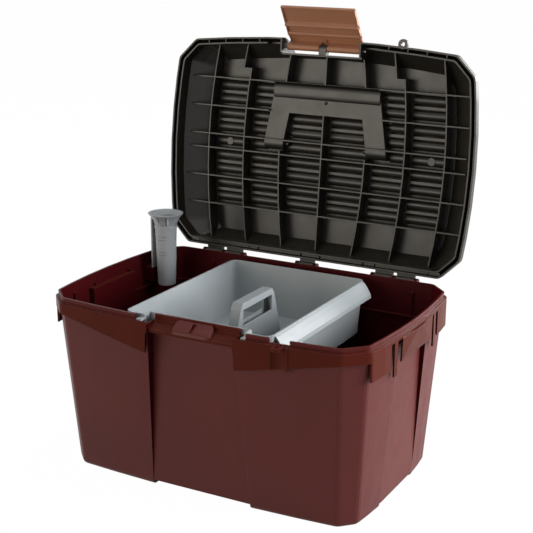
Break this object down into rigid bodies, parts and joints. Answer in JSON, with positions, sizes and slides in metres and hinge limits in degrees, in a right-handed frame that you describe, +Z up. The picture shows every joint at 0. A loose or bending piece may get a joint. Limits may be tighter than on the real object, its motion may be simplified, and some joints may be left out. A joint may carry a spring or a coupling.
{
  "type": "horse grooming box",
  "caption": "Moulded grooming box with a tapered tub, hinged ribbed lid, fold-down carry handle, front latch, lift-out tray with a handle and a tool cup.",
  "frame": {"origin": "on the floor under the middle of the tub's footprint", "axes": "+X to the right seen from the front, +Y to the back where the hinge is, +Z up"},
  "size_m": [0.4256, 0.3597, 0.5298],
  "materials": {
    "tub": "satin burgundy polypropylene",
    "lid": "fine-grained black polypropylene",
    "latch": "satin copper-brown plastic",
    "steel": "plain drawn rod",
    "tray": "satin light grey polypropylene",
    "cup": "satin mid grey polypropylene"
  },
  "bodies": {
    "tub": {"tub": "tub"},
    "lid": {"lid": "lid", "latch_pin": "steel"},
    "carry_handle": {"carry_handle": "lid"},
    "latch": {"latch": "latch"},
    "tray": {"tray": "tray"},
    "tool_cup": {"tool_cup": "cup"}
  },
  "joints": [
    {"name": "lid_hinge", "type": "hinge", "parent": "tub", "child": "lid", "pos_m": [0, 0.1418, 0.2085], "axis": [-1, 0, 0], "range_deg": [-96, 0]},
    {"name": "latch_hinge", "type": "hinge", "parent": "lid", "child": "latch", "pos_m": [0, 0.18165, 0.47761], "axis": [-1, 0, 0], "range_deg": [-53, 44]},
    {"name": "handle_hinge", "type": "hinge", "parent": "lid", "child": "carry_handle", "pos_m": [0, 0.19281, 0.35226], "axis": [-1, 0, 0], "range_deg": [0, 90]},
    {"name": "tray_lift", "type": "slide", "parent": "tub", "child": "tray", "axis": [0, 0, 1], "range_m": [0, 0.009]},
    {"name": "cup_slide", "type": "slide", "parent": "tub", "child": "tool_cup", "axis": [0, 0, 1], "range_m": [-0.0531, 0]}
  ],
  "couplings": [
    {"joint": "cup_slide", "follows": "lid_hinge", "m_per_rad": 0.031632}
  ]
}
